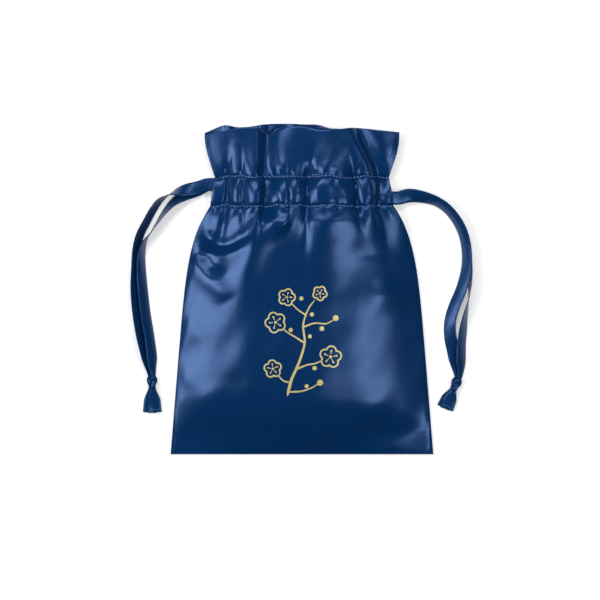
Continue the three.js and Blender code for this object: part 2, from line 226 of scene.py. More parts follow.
def backFace(x, t):  # the back lies on the table and its gathers rise off it
    s = np.clip(np.abs(x) / halfWidth(t), 0, 1)
    seamRise = pouch["seamHeight"] * ramp(backLie["seamFrom"], 1, s) * (1 - ramp(pouch["liftFrom"], lowerRow, t))
    footRise = pouch["seamHeight"] * (1 - ramp(0, backLie["foot"], t))
    ripple = backLie["ripple"] * (1 + np.sin(x * backLie["across"] + t * backLie["upward"]))
    ripple = ripple * ramp(*backLie["rippleFrom"], t) * (1 - s)
    gathered = grooves(backGathers, x, t) * (1 - s ** backLie["sideFade"])
    return backLie["base"] + np.maximum(seamRise, footRise) + ripple + gathered


def layOut(face, rim, columns, rows, rimLine=None):  # a grid of points, spaced evenly along the cloth in each row
    heights = np.linspace(0, rim, rows)
    share = np.linspace(0, 1, columns)
    grid = np.zeros((rows, columns, 3))
    flat = np.zeros((rows, columns, 2))
    for r, t in enumerate(heights):
        x = np.linspace(-1, 1, pouch["rowSteps"]) * halfWidth(t)
        z = face(x, np.full_like(x, t))
        run = np.concatenate([[0], np.cumsum(np.hypot(np.diff(x), np.diff(z)))])
        xs = np.interp(share * run[-1], run, x)
        grid[r] = np.stack([xs, np.full_like(xs, t - middle), np.interp(xs, x, z)], 1)
        flat[r] = np.stack([(share - 0.5) * run[-1], np.full_like(xs, t)], 1)
        if rimLine and t > upperRow:
            grid[r, :, 1] += (spline(xs, rimLine) - rim) * ((t - upperRow) / (rim - upperRow)) ** pouch["rimEase"]
    return grid, flat, heights


def makeMesh(name, verts, faces, uvs=None, smooth=True):
    data = bpy.data.meshes.new(name)
    data.from_pydata([tuple(v) for v in np.asarray(verts) * mm], [], faces)
    if uvs is not None:
        layer = data.uv_layers.new(name="cloth")
        loops = np.zeros(len(data.loops), int)
        data.loops.foreach_get("vertex_index", loops)
        layer.data.foreach_set("uv", np.asarray(uvs)[loops].astype(np.float32).ravel())
    data.polygons.foreach_set("use_smooth", [smooth] * len(data.polygons))
    data.update()
    obj = bpy.data.objects.new(name, data)
    scene.collection.objects.link(obj)
    return obj


def gridFaces(rows, columns, flip=False):
    k = np.arange(rows * columns).reshape(rows, columns)
    quads = np.stack([k[:-1, :-1], k[:-1, 1:], k[1:, 1:], k[1:, :-1]], -1).reshape(-1, 4)
    return (quads[:, ::-1] if flip else quads).tolist()


# How the satin falls on a support below it: the sewn edges and the casing are held, and a share of the fall is kept
settle = {
    "frames": 20, "mass": 0.0006, "stretch": 40.0, "shear": 6.0, "bend": 4.0, "damping": 8, "bendDamping": 0.8,
    "quality": 6, "pin": 5, "gravity": 1.5, "apart": 0.0006,
    "underColumns": 70, "underRows": 90, "underneath": 2.5, "underLow": 0.4, "underSkin": 0.0003, "friction": 8,
    "furthest": 9.0, "share": 0.25, "ease": 8,
}


def settleCloth(name, grid, heldMask, swell):
    rows, columns = grid.shape[:2]
    obj = makeMesh(name, grid.reshape(-1, 3), gridFaces(rows, columns))
    group = obj.vertex_groups.new(name="held")
    group.add([int(i) for i in np.flatnonzero(heldMask.ravel())], 1.0, "REPLACE")
    under = layOut(swell, frontRim, settle["underColumns"], settle["underRows"])[0]
    under[:, :, 2] = np.maximum(under[:, :, 2] - settle["underneath"], settle["underLow"])
    ground = makeMesh(name + "Under", under.reshape(-1, 3), gridFaces(settle["underRows"], settle["underColumns"]))
    ground.modifiers.new("stop", "COLLISION")
    ground.collision.thickness_outer = settle["underSkin"]
    ground.collision.cloth_friction = settle["friction"]
    cloth = obj.modifiers.new("fall", "CLOTH")
    c = cloth.settings
    c.quality = settle["quality"]
    c.mass = settle["mass"]
    c.tension_stiffness = c.compression_stiffness = settle["stretch"]
    c.shear_stiffness = settle["shear"]
    c.bending_stiffness = settle["bend"]
    c.tension_damping = c.compression_damping = settle["damping"]
    c.bending_damping = settle["bendDamping"]
    c.vertex_group_mass = "held"
    c.pin_stiffness = settle["pin"]
    c.effector_weights.gravity = settle["gravity"]
    hits = cloth.collision_settings
    hits.use_collision = True
    hits.distance_min = settle["apart"]
    hits.use_self_collision = False
    cloth.point_cache.frame_start = 1
    cloth.point_cache.frame_end = settle["frames"]
    for f in range(1, settle["frames"] + 1):
        scene.frame_set(f)
    shown = obj.evaluated_get(bpy.context.evaluated_depsgraph_get())
    co = np.zeros(rows * columns * 3, np.float32)
    shown.data.vertices.foreach_get("co", co)
    out = co.reshape(rows, columns, 3).astype(float) / mm
    scene.frame_set(1)
    bpy.data.objects.remove(obj)
    bpy.data.objects.remove(ground)
    move = out - grid
    far = np.linalg.norm(move, axis=2, keepdims=True)
    print("settled", name, "mean move", round(float(far.mean()), 2), "most", round(float(far.max()), 2), "mm")
    move *= settle["share"] * np.minimum(1, settle["furthest"] / np.maximum(far, 1e-9))
    for _ in range(settle["ease"]):  # the satin is too smooth for the smallest crinkles
        near = np.pad(move, ((1, 1), (1, 1), (0, 0)), mode="edge")
        near = (near[:-2, 1:-1] + near[2:, 1:-1] + near[1:-1, :-2] + near[1:-1, 2:]) / 4
        move = np.where(heldMask[:, :, None], move, 0.5 * move + 0.5 * near)
    return grid + move


def finer(values):  # twice as many points each way, on a smooth curve through the old ones
    def doubled(a):
        pad = np.concatenate([2 * a[:1] - a[1:2], a, 2 * a[-1:] - a[-2:-1]])
        mid = (-pad[:-3] + 9 * pad[1:-2] + 9 * pad[2:-1] - pad[3:]) / 16
        out = np.zeros((2 * len(a) - 1,) + a.shape[1:])
        out[0::2] = a
        out[1::2] = mid
        return out
    return np.swapaxes(doubled(np.swapaxes(doubled(values), 0, 1)), 0, 1)


def normals(grid, outward):
    du = np.gradient(grid, axis=1)
    dv = np.gradient(grid, axis=0)
    n = np.cross(du, dv)
    return outward * n / np.maximum(np.linalg.norm(n, axis=2, keepdims=True), 1e-9)


# Sewing along the two rows beside the casing
sewing = {
    "pitch": 3.0, "length": 1.8, "radius": 0.26, "endGap": 2, "sink": (-0.25, 0.1, 0.16, 0.1, -0.25),
    "pull": 0.75, "reach": 0.78, "evenPull": 0.55, "tunnelSwell": 1.5, "tunnelRound": 0.7,
}
# The turned-in hem
hem = {"fold": 0.55, "casingGap": 1.4, "swellShare": 0.4, "offTable": 0.45, "turns": (0.3, 0.6, 1.0)}
panelGrid = {"columns": 105, "frontRows": 131, "backRows": 127}

# Small puckers that the stitches draw up beside each row
puckers = {"seed": 11, "count": 46, "deep": (0.2, 0.65), "wide": (0.9, 2.0), "long": (4.0, 13.0),
           "across": 0.97, "lean": 0.35, "start": (-0.6, 0.4)}


def puckerDepth(u, t, rowPlace, direction, rng):
    total = np.zeros_like(u)
    edge = np.abs(u).max(axis=1, keepdims=True)
    for _ in range(puckers["count"]):
        at = rng.uniform(-puckers["across"], puckers["across"])
        deep = rng.uniform(*puckers["deep"])
        wide = rng.uniform(*puckers["wide"])
        reach = rng.uniform(*puckers["long"])
        lean = rng.uniform(-puckers["lean"], puckers["lean"])
        away = (t - rowPlace) * direction
        fade = np.exp(-np.maximum(away, 0) / reach) * ramp(*puckers["start"], away)
        off = (u - at * edge - lean * (t - rowPlace)) / (wide * (1 + np.maximum(away, 0) / reach))
        total += deep * fade * bell(off)
    return total


# Slow ripples that break up the sheen: how high, how long and how many
ripples = {"seed": 5, "count": 26, "high": (0.03, 0.1), "long": (16.0, 46.0), "calmFoot": 10, "calmSide": 0.06}


def rippleHeight(u, t):
    rng = np.random.default_rng(ripples["seed"])
    total = np.zeros_like(u)
    for _ in range(ripples["count"]):
        way = rng.uniform(0, math.pi)
        length = rng.uniform(*ripples["long"])
        shift = rng.uniform(0, 2 * math.pi)
        high = rng.uniform(*ripples["high"]) * length / ripples["long"][1]
        total += high * np.sin(2 * math.pi * (u * math.cos(way) + t * math.sin(way)) / length + shift)
    return total


# How far the two rows of stitches wander up and down
wander = {"seed": 23, "waves": 7, "high": 0.22, "long": (14.0, 60.0), "fade": 26}


def rowWander(u, t):
    rng = np.random.default_rng(wander["seed"])
    rows = []
    for _ in range(2):
        line = np.zeros_like(u)
        for _ in range(wander["waves"]):
            length = rng.uniform(*wander["long"])
            line += wander["high"] * np.sin(2 * math.pi * u / length + rng.uniform(0, 2 * math.pi))
        rows.append(line)
    q = np.clip((t - lowerRow) / pouch["casing"], 0, 1)
    near = ramp(lowerRow - wander["fade"], lowerRow, t) * (1 - ramp(upperRow, upperRow + wander["fade"], t))
    return (rows[0] * (1 - q) + rows[1] * q) * near


def panel(name, face, rim, rimLine, outward, rows, held=None, support=None):
    columns = panelGrid["columns"]
    grid, flat, heights = layOut(face, rim, columns, rows, rimLine)
    if held is not None:
        grid = settleCloth(name + "Cloth", grid, held(heights, columns), support)
    grid, flat = finer(grid), finer(flat)
    u, t = flat[:, :, 0], flat[:, :, 1]
    grid[:, :, 1] += rowWander(u, t)
    n = normals(grid, outward)
    wave = 0.5 + 0.5 * np.cos(2 * math.pi * u / sewing["pitch"])
    pull = np.zeros_like(t)
    for row in (lowerRow, upperRow):
        pull += bell((t - row) / sewing["reach"]) * (sewing["evenPull"] + (1 - sewing["evenPull"]) * wave)
    q = np.clip((t - lowerRow) / pouch["casing"], 0, 1)
    tunnel = np.sin(math.pi * q) ** sewing["tunnelRound"]
    swell = sewing["tunnelSwell"] * tunnel
    rng = np.random.default_rng(puckers["seed"])
    drawn = sum(puckerDepth(u, t, row, way, rng) for row in (lowerRow, upperRow) for way in (-1, 1))
    sideShare = 1 - np.abs(u) / np.abs(u).max(axis=1, keepdims=True)
    calm = ramp(0, ripples["calmFoot"], t) * ramp(0, ripples["calmSide"], sideShare)
    grid = grid + n * (swell - sewing["pull"] * pull - drawn + rippleHeight(u, t) * calm)[:, :, None]
    grid[:, :, 2] = np.maximum(grid[:, :, 2], hem["offTable"])
    n = normals(grid, outward)
    inner = np.flatnonzero(flat[:, 0, 1] >= lowerRow)[::-1]
    roll = hem["fold"] / 2
    centre = grid[-1] - n[-1] * roll
    up = unit(grid[-1] - grid[-3])
    rolls = []
    for share in hem["turns"]:  # the cloth rolls over at the rim
        a = share * math.pi
        rolls.append(centre + n[-1] * roll * math.cos(a) + up * roll * math.sin(a))
    gap = hem["fold"] + hem["casingGap"] * tunnel
    inside = grid - n * (gap + swell * hem["swellShare"])[:, :, None]  # and runs down inside to the lower stitches
    full = np.concatenate([grid, np.array(rolls), inside[inner[1:]]])
    turnedIn = np.stack([u, 2 * rim - t], 2)[inner[1:]]
    uv = np.concatenate([flat, np.repeat(flat[-1:], len(rolls), 0), turnedIn]) * uvScale
    obj = makeMesh(name, full.reshape(-1, 3), gridFaces(*full.shape[:2], flip=outward < 0), uv.reshape(-1, 2))
    print(name, "made:", len(obj.data.polygons), "faces")
    return {"obj": obj, "grid": grid, "flat": flat, "normals": n}


def frontHeld(heights, columns):  # frill, casing, bottom seam and side seams stay put
    mask = np.zeros((len(heights), columns), bool)
    mask[heights >= lowerRow - 1] = True
    mask[0] = mask[:, 0] = mask[:, -1] = True
    return mask


front = panel("front_panel_satin", frontFace, frontRim, frontRimLine, 1, panelGrid["frontRows"],
              held=frontHeld, support=frontSwell)
back = panel("back_panel_satin", backFace, backRim, backRimLine, -1, panelGrid["backRows"])

# Ribbons: the routes of the solids, each point with the way that the satin faces there
ribbon = {
    "width": 10.0, "thickness": 0.3, "camber": 0.5, "bead": 1.25, "steps": 120, "across": 9,
    "inside": 14.0, "insideShares": (1, 0.7, 0.45, 0.2),  # the part that goes on into the casing
    "gather": 0.6, "gatherFrom": 14, "gatherTo": 2,  # steps from the end, where it is drawn into its knot
}
strandRoutes = {
    "left_front": [
        (-66.7, 79.1, 7.54, 0), (-72.2, 78.9, 6.5, 0), (-79.5, 76.6, 5.85, 4), (-88, 75.2, 6.38, 25),
        (-96, 73.6, 6.36, 62), (-102, 71.2, 5.6, 90), (-108, 67, 5.15, 112), (-113.4, 59.6, 4.78, 120),
        (-118.4, 50.5, 4.7, 122), (-123.2, 41, 4.61, 124), (-125.7, 30, 4.42, 128), (-126.4, 16, 4.22, 132),
        (-126.8, 0, 4.05, 135), (-125.4, -18, 4.05, 135), (-122.5, -36, 4.05, 135), (-119, -50, 3.93, 137),
        (-116.5, -60, 3.61, 142), (-115.2, -66.5, 3.34, 146), (-114.4, -70.5, 3.4, 150),
    ],
    "left_back": [
        (-66.9, 79.2, 1.45, 180), (-72.4, 79, 1.1, 180), (-79, 75.4, 1.32, 186), (-88, 71.6, 2.78, 205),
        (-97, 66, 4.32, 230), (-103.9, 58.7, 4.86, 245), (-110, 49.8, 5.14, 257), (-115.2, 42, 5.21, 268),
        (-119.7, 34.5, 5.05, 288), (-121.9, 25, 4.56, 303), (-122, 14, 4.17, 311), (-121, 0, 3.83, 317),
        (-118.9, -18, 3.83, 317), (-116, -36, 3.83, 317), (-114.2, -50, 3.71, 319), (-113.6, -60, 3.51, 322),
        (-113, -66.5, 3.24, 326), (-113.4, -70.5, 2.6, 330),
    ],
    "right_front": [
        (68.3, 68.8, 7.63, 0), (73.8, 69, 6.5, 0), (81, 71, 6.02, 6), (91, 69.6, 6.21, 28),
        (101, 66.4, 5.72, 48), (109.5, 61, 5.32, 52), (116.4, 53, 5.17, 51), (121.3, 44, 5.12, 50),
        (124.1, 34, 5.07, 49), (125.1, 22, 4.96, 47), (124, 11, 4.57, 42), (120.8, -1, 3.68, 36),
        (115.9, -13, 3.17, 33), (112.6, -25, 2.96, 30), (112.9, -37, 2.35, 22), (115.4, -48, 1.36, 10),
        (117.4, -58, 0.93, -5), (118.2, -67.4, 1.88, -15), (117.6, -71.3, 3.4, -18),
    ],
    "right_back": [
        (68.6, 68.8, 1.45, 180), (74.1, 69, 1.1, 180), (81, 70.6, 1.32, 186), (91.2, 70, 2.91, 208),
        (101.4, 67.3, 4.22, 230), (110.1, 61.8, 4.37, 233), (117.2, 53.6, 4.32, 232), (122.2, 44.4, 4.27, 231),
        (125.1, 34.2, 4.27, 231), (126.3, 22, 4.37, 233), (127.2, 11, 4.76, 242), (127.7, 2, 5.15, 258),
        (127.1, -6, 5.2, 270), (125.7, -14, 5.11, 285), (124.1, -22, 4.79, 297), (122.7, -31, 4.32, 308),
        (121.6, -41, 4.06, 313), (121.2, -51, 3.83, 317), (121, -60, 3.51, 322), (120.2, -67.4, 3.34, 326),
        (118.2, -71.3, 2.6, 332),
    ],
}
routeSteps = 1500


def smoothRoute(points, steps):  # evenly spaced along a smooth curve through the points
    p = np.array(points, float)
    chord = np.concatenate([[0], np.cumsum(np.sqrt(np.linalg.norm(np.diff(p[:, :3], axis=0), axis=1)))])
    dense = np.linspace(0, chord[-1], routeSteps)
    line = np.stack([spline(dense, list(zip(chord, p[:, k]))) for k in range(p.shape[1])], 1)
    run = along(line[:, :3])
    even = np.linspace(0, run[-1], steps)
    return np.stack([np.interp(even, run, line[:, k]) for k in range(p.shape[1])], 1), run[-1]


def ribbonBand(name, line, widthShare=None):  # a closed flat band along the line, turned as its fourth column says
    pos = line[:, :3]
    heading = unit(np.gradient(pos, axis=0))
    turn = np.radians(line[:, 3])[:, None]
    up = unit(np.array([0, 0, 1.0]) - heading * heading[:, 2:3])
    facing = up * np.cos(turn) + np.cross(heading, up) * np.sin(turn)
    across = np.cross(facing, heading)
    n = len(pos)
    half = ribbon["width"] / 2 * (np.ones(n) if widthShare is None else widthShare)
    places = np.linspace(-1, 1, ribbon["across"])
    rings, uvs = [], []
    run = along(pos)
    for sign in (1, -1):
        for w in (places if sign > 0 else places[::-1]):
            bow = ribbon["camber"] * (0.5 - w * w)
            edge = ribbon["thickness"] / 2 * (ribbon["bead"] if abs(w) == 1 else 1.0)
            rings.append(pos + across * (half * w)[:, None] + facing * (bow + sign * edge))
            uvs.append(np.stack([half * w, run], 1) * uvScale)
    verts = np.stack(rings, 1)
    uv = np.stack(uvs, 1)
    count = verts.shape[1]
    k = np.arange(n * count).reshape(n, count)
    nxt = np.roll(k, -1, 1)
    faces = np.stack([k[:-1], nxt[:-1], nxt[1:], k[1:]], -1).reshape(-1, 4).tolist()
    faces += [k[0, ::-1].tolist(), k[-1].tolist()]
    return makeMesh(name, verts.reshape(-1, 3), faces, uv.reshape(-1, 2))


strands = {}
for key, route in strandRoutes.items():
    line, length = smoothRoute(route, ribbon["steps"])
    outAway = np.array([1.0 if key.startswith("left") else -1.0, 0, 0])
    deep = ribbon["inside"] * np.array(ribbon["insideShares"])
    lead = np.array([np.append(line[0, :3] + outAway * d, line[0, 3]) for d in deep])
    n = len(line)
    nip = 1 - ribbon["gather"] * ramp(n - ribbon["gatherFrom"], n - ribbon["gatherTo"], np.arange(n))
    whole = np.concatenate([lead, line])
    band = ribbonBand(key + "_strand", whole, np.concatenate([np.ones(len(lead)), nip]))
    strands[key] = {"obj": band, "line": whole, "mouth": line[0, :3], "length": length + ribbon["inside"]}
    print(key, "strand", round(length, 1), "mm outside its casing")


# Knots: both ends tied together in one overhand knot, with the two tails hanging out
knots = {
    "left": {"at": (-114.0, -71.6, 3.1), "swing": 1, "tailLength": 20.5, "spread": (-6, 4)},
    "right": {"at": (116.6, -73.2, 3.1), "swing": -24, "tailLength": 17.5, "spread": (-3, 4)},
}
knotLump = {"size": (3.4, 6.6, 2.6), "band": 1.9, "thick": 1.05, "loop": 0.72, "shift": 0.1, "weave": 0.45,
            "steps": 96, "around": 20, "ridge": 0.16, "uv": (0.004, 0.01)}
tail = {
    "start": 2.2, "gathered": 0.4, "openBy": 0.6, "apart": 0.4, "steps": 30, "low": 0.95, "stack": 1.0, "downBy": 0.55,
    "wave": 0.3, "waves": 6, "tilt": 5.0,
    "hemFromEnd": 2.4, "stitch": 1.1, "pitch": 1.7, "margin": 0.7, "thread": 0.14, "sink": (-0.1, 0.06, 0.06, -0.1),
}


def tubeMesh(name, path, across, through):  # a closed loop of folded satin
    path = np.asarray(path, float)
    n, count = len(path), knotLump["around"]
    heading = unit(np.roll(path, -1, 0) - np.roll(path, 1, 0))
    facing = unit(np.cross(np.cross(heading, [0, 0, 1.0]), heading) + 1e-6)
    side = np.cross(facing, heading)
    around = np.linspace(0, 2 * math.pi, count, endpoint=False)
    rings = []
    for a in around:
        crease = 1 - knotLump["ridge"] * math.cos(4 * a) ** 2  # the folded satin shows soft ridges
        rings.append(path + side * across * math.cos(a) * crease + facing * through * math.sin(a) * crease)
    verts = np.stack(rings, 1)
    k = np.arange(n * count).reshape(n, count)
    nxt = np.roll(k, -1, 1)
    faces = np.stack([k, nxt, np.roll(nxt, -1, 0), np.roll(k, -1, 0)], -1).reshape(-1, 4).tolist()
    endways, crossways = knotLump["uv"]
    uv = np.stack([np.repeat(np.arange(n)[:, None], count, 1) * endways, np.repeat(around[None], n, 0) * crossways], 2)
    return makeMesh(name, verts.reshape(-1, 3), faces, uv.reshape(-1, 2))


def joined(name, pieces):
    for o in bpy.context.selected_objects:
        o.select_set(False)
    for o in pieces:
        o.select_set(True)
    bpy.context.view_layer.objects.active = pieces[0]
    with bpy.context.temp_override(active_object=pieces[0], selected_objects=pieces, selected_editable_objects=pieces):
        bpy.ops.object.join()
    pieces[0].name = name
    pieces[0].data.name = name
    return pieces[0]


def makeKnot(side, spec):
    sx, sy, sz = knotLump["size"]
    swing = math.radians(spec["swing"])
    turn = np.array([[math.cos(swing), -math.sin(swing), 0], [math.sin(swing), math.cos(swing), 0], [0, 0, 1]])
    centre = np.array(spec["at"])

    def place(points):
        return np.asarray(points) @ turn.T + centre

    a = np.linspace(0, 2 * math.pi, knotLump["steps"], endpoint=False)
    loop = np.stack([(np.sin(a) + 2 * np.sin(2 * a)) / 3 * sx * knotLump["loop"],
                     (np.cos(a) - 2 * np.cos(2 * a)) / 3 * sy * knotLump["loop"] + sy * knotLump["shift"],
                     -np.sin(3 * a) * sz * knotLump["weave"]], 1)
    parts = [tubeMesh(side + "KnotLoop", place(loop), knotLump["band"], knotLump["thick"])]
    for k, lean in enumerate(spec["spread"]):  # the second tail lies on the first
        q = np.linspace(0, 1, tail["steps"])
        y = -tail["start"] - q * spec["tailLength"]
        sign = 1 if k else -1
        x = np.sin(math.radians(lean)) * spec["tailLength"] * q + tail["apart"] * sign
        low = tail["low"] + tail["stack"] * k
        fall = low + (spec["at"][2] - low) * (1 - ramp(0, tail["downBy"], q))
        z = fall + tail["wave"] * k * np.sin(q * tail["waves"]) - spec["at"][2]
        pts = np.concatenate([place(np.stack([x, y, z], 1)), np.full((len(q), 1), tail["tilt"] * sign)], 1)
        share = tail["gathered"] + (1 - tail["gathered"]) * ramp(0, tail["openBy"], q)
        parts.append(ribbonBand(side + "Tail" + str(k), pts, share))
        spec["upperTail"] = pts
    return joined(side + "_knot_tied", parts)


for side, spec in knots.items():
    spec["obj"] = makeKnot(side, spec)
print("ribbons tied")


# Stitches: short thread bars let into the cloth along each row
def stitchRow(row, made):
    flat = made["flat"]
    r = int(np.argmin(np.abs(flat[:, 0, 1] - row)))
    line, up, u = made["grid"][r], made["normals"][r], flat[r, :, 0]
    sink = np.array(sewing["sink"])
    runs = []
    for start in np.arange(u[0] + sewing["endGap"], u[-1] - sewing["endGap"], sewing["pitch"]):
        at = np.linspace(start, start + sewing["length"], len(sink))
        p = np.stack([np.interp(at, u, line[:, k]) for k in range(3)], 1)
        w = np.stack([np.interp(at, u, up[:, k]) for k in range(3)], 1)
        runs.append(p + w * sink[:, None])
    return runs


def threadMesh(name, runs, radius):
    verts, faces = [], []
    around = np.linspace(0, 2 * math.pi, 6, endpoint=False)
    c = len(around)
    for run in runs:
        heading = unit(np.gradient(run, axis=0))
        side = unit(np.cross(heading, [0, 0, 1.0]) + 1e-9)
        top = np.cross(side, heading)
        base = len(verts)
        for k in range(len(run)):
            for a in around:
                verts.append(run[k] + radius * (side[k] * math.cos(a) + top[k] * math.sin(a)))
        for k in range(len(run) - 1):
            for j in range(c):
                i0, i1 = base + k * c + j, base + k * c + (j + 1) % c
                faces.append((i0, i1, i1 + c, i0 + c))
        faces.append(tuple(base + j for j in range(c))[::-1])
        faces.append(tuple(base + (len(run) - 1) * c + j for j in range(c)))
    return makeMesh(name, np.array(verts), faces)


def hemRuns(spec):  # a row of small stitches across the upper tail, near its cut end
    pts = spec["upperTail"]
    run = along(pts[:, :3])
    at = run[-1] - tail["hemFromEnd"]
    centre = np.array([np.interp(at, run, pts[:, k]) for k in range(3)])
    heading = pts[-1, :3] - pts[-3, :3]
    across = np.cross(heading / np.linalg.norm(heading), [0, 0, 1.0])
    rise = math.tan(math.radians(pts[-1, 3]))
    half = ribbon["width"] / 2
    sink = np.array(tail["sink"])
    runs = []
    for start in np.arange(-half + tail["margin"], half - tail["stitch"], tail["pitch"]):
        w = np.linspace(start, start + tail["stitch"], len(sink))
        bow = ribbon["camber"] * (0.5 - (w / half) ** 2) + ribbon["thickness"] / 2
        runs.append(centre + across * w[:, None] + np.array([0, 0, 1.0]) * (bow + sink - rise * w)[:, None])
    return runs


threads = {}
for name, made in (("front", front), ("back", back)):
    runs = stitchRow(lowerRow, made) + stitchRow(upperRow, made)
    threads[name] = threadMesh(name + "_casing_stitches", runs, sewing["radius"])
for side, spec in knots.items():
    spec["hem"] = threadMesh(side + "_tail_hem_stitches", hemRuns(spec), tail["thread"])
print("stitches sewn")


# Foil print: a spray of plum blossom, drawn in strokes on the cloth; places are offsets from its centre
foil = {"centre": (1.0, 85.0), "lift": 0.06, "sink": 0.06, "step": 0.8, "above": 0.08, "tip": (14, 0.35), "round": 18}
blossom = {"outline": 1.15, "steps": 110, "waist": 0.74, "point": 0.8, "heart": 0.14, "stamen": (0.24, 0.5),
           "stamenWidth": 0.6, "antherAt": 0.56, "anther": 0.085, "petals": 5}
sprayStems = [  # points and the width at both ends
    ([(-12, -40), (-9, -28), (-3, -14), (1, 0), (0, 14), (4, 26), (8.8, 32.6)], 2.3, 1.0),
    ([(-5.5, -20), (3, -16.5), (9, -15.5), (13.5, -13.5)], 1.5, 0.9),
    ([(1, 0), (-7, 5), (-12, 8), (-15.5, 11)], 1.5, 0.9),
    ([(0, 12), (9, 15), (17, 14.5), (23, 17.5)], 1.4, 0.8),
    ([(2, 21), (-4, 25), (-8.5, 29.5)], 1.3, 0.8),
    ([(-9.5, -30), (-15, -28.5), (-19, -24.5)], 1.4, 0.9),
    ([(-11.3, -37), (-2, -36.5), (6, -34), (11, -31)], 1.4, 0.8),
]
sprayBlossoms = [  # place, size and turn
    (20.5, -10.5, 8.2, 10), (-21.0, 15.5, 7.8, 40), (-12.5, 34.5, 6.4, 0), (-23.0, -19.5, 6.6, 25),
    (12.5, 37.5, 5.4, 60),
]
sprayBuds = [  # place and radius
    (8.5, -19.0, 1.7), (-9.5, 9.8, 1.6), (14.0, 10.8, 1.8), (24.5, 18.8, 2.2), (-1.5, 33.5, 1.6), (6.5, 21.5, 1.6),
    (12.6, -30.0, 2.3), (2.5, -32.6, 1.5), (5.0, 5.0, 1.5),
]


def foilPrint(cloth):
    depsgraph = bpy.context.evaluated_depsgraph_get()
    tree = BVHTree.FromObject(cloth, depsgraph)
    verts, faces = [], []

    def onCloth(x, t, lift):
        above = Vector(((x + foil["centre"][0]) * mm, (t + foil["centre"][1] - middle) * mm, foil["above"]))
        hit = tree.ray_cast(above, Vector((0, 0, -1)))
        return np.array(hit[0]) / mm + np.array(hit[1]) * lift

    def stroke(points, widths, closed=False):
        pts = np.asarray(points, float)
        heading = unit(np.roll(pts, -1, 0) - np.roll(pts, 1, 0) if closed else np.gradient(pts, axis=0))
        side = np.stack([-heading[:, 1], heading[:, 0]], 1)
        base = len(verts)
        for p, w, width in zip(pts, side, widths):
            edge = [p + w * width * k for k in (-0.5, 0, 0.5)]
            verts.extend(onCloth(*e, foil["lift"]) for e in edge)
            verts.extend(onCloth(*e, -foil["sink"]) for e in edge[::-1])
        n = len(pts)
        for k in range(n if closed else n - 1):
            low, high = base + 6 * k, base + 6 * ((k + 1) % n)
            faces.extend((low + j, low + (j + 1) % 6, high + (j + 1) % 6, high + j) for j in range(6))
        if not closed:
            faces.append(tuple(base + j for j in range(6))[::-1])
            faces.append(tuple(base + 6 * (n - 1) + j for j in range(6)))

    def disc(x, t, radius):
        around = np.linspace(0, 2 * math.pi, foil["round"], endpoint=False)
        ring = [(x + radius * math.cos(a), t + radius * math.sin(a)) for a in around]
        base = len(verts)
        verts.append(onCloth(x, t, foil["lift"]))
        verts.extend(onCloth(*r, foil["lift"]) for r in ring)
        verts.extend(onCloth(*r, -foil["sink"]) for r in ring)
        verts.append(onCloth(x, t, -foil["sink"]))
        n = len(ring)
        for k in range(n):
            a, b = base + 1 + k, base + 1 + (k + 1) % n
            faces.extend([(base, a, b), (b, a, a + n, b + n), (b + n, a + n, base + 2 * n + 1)])

    for points, wide, thin in sprayStems:
        places = [(x, t, 0) for x, t in points]
        length = smoothRoute(places, 2)[1]
        line = smoothRoute(places, max(6, int(length / foil["step"])))[0]
        q = np.linspace(0, 1, len(line))
        tips = np.clip(np.minimum(q, 1 - q) * foil["tip"][0] + foil["tip"][1], 0, 1)
        stroke(line[:, :2], (wide + (thin - wide) * q) * tips)
    for x, t, size, turn in sprayBlossoms:
        a = np.linspace(0, 2 * math.pi, blossom["steps"], endpoint=False)
        lobes = np.abs(np.cos(blossom["petals"] / 2 * (a - math.radians(turn)))) ** blossom["point"]
        r = size * (blossom["waist"] + (1 - blossom["waist"]) * lobes)
        rim = np.stack([x + r * np.cos(a), t + r * np.sin(a)], 1)
        stroke(rim, np.full(len(a), blossom["outline"]), closed=True)
        disc(x, t, size * blossom["heart"])
        for k in range(blossom["petals"]):
            angle = math.radians(turn + 360 / blossom["petals"] * k)
            way = np.array([math.cos(angle), math.sin(angle)])
            reach = np.linspace(*blossom["stamen"], 6)[:, None] * size
            stroke(np.array([x, t]) + reach * way, np.full(6, blossom["stamenWidth"]))
            disc(*(np.array([x, t]) + blossom["antherAt"] * size * way), size * blossom["anther"])
    for x, t, radius in sprayBuds:
        disc(x, t, radius)
    return makeMesh("foil_print", np.array(verts), faces, smooth=False)


foil["obj"] = foilPrint(front["obj"])
print("foil printed:", len(foil["obj"].data.polygons), "faces")


# Finishes
def newMaterial(name):
    material = bpy.data.materials.new(name)
    material.use_nodes = True
    nodes = material.node_tree.nodes
    nodes.clear()
    out = nodes.new("ShaderNodeOutputMaterial")
    shader = nodes.new("ShaderNodeBsdfPrincipled")
    material.node_tree.links.new(shader.outputs["BSDF"], out.inputs["Surface"])
    return material, nodes, material.node_tree.links, shader


def setInputs(node, values):
    for name, value in values.items():
        node.inputs[name].default_value = value


def addNoise(nodes, links, vector, scale, detail):
    noise = nodes.new("ShaderNodeTexNoise")
    setInputs(noise, {"Scale": scale, "Detail": detail})
    links.new(vector, noise.inputs["Vector"])
    return noise.outputs["Fac"]


def addTone(nodes, links, shader, share, dark, light):
    tone = nodes.new("ShaderNodeMixRGB")
    setInputs(tone, {"Color1": (*dark, 1), "Color2": (*light, 1)})
    links.new(share, tone.inputs["Fac"])
    links.new(tone.outputs["Color"], shader.inputs["Base Color"])


def addRange(nodes, links, value, socket, values):
    reach = nodes.new("ShaderNodeMapRange")
    setInputs(reach, values)
    links.new(value, reach.inputs["Value"])
    links.new(reach.outputs["Result"], socket)


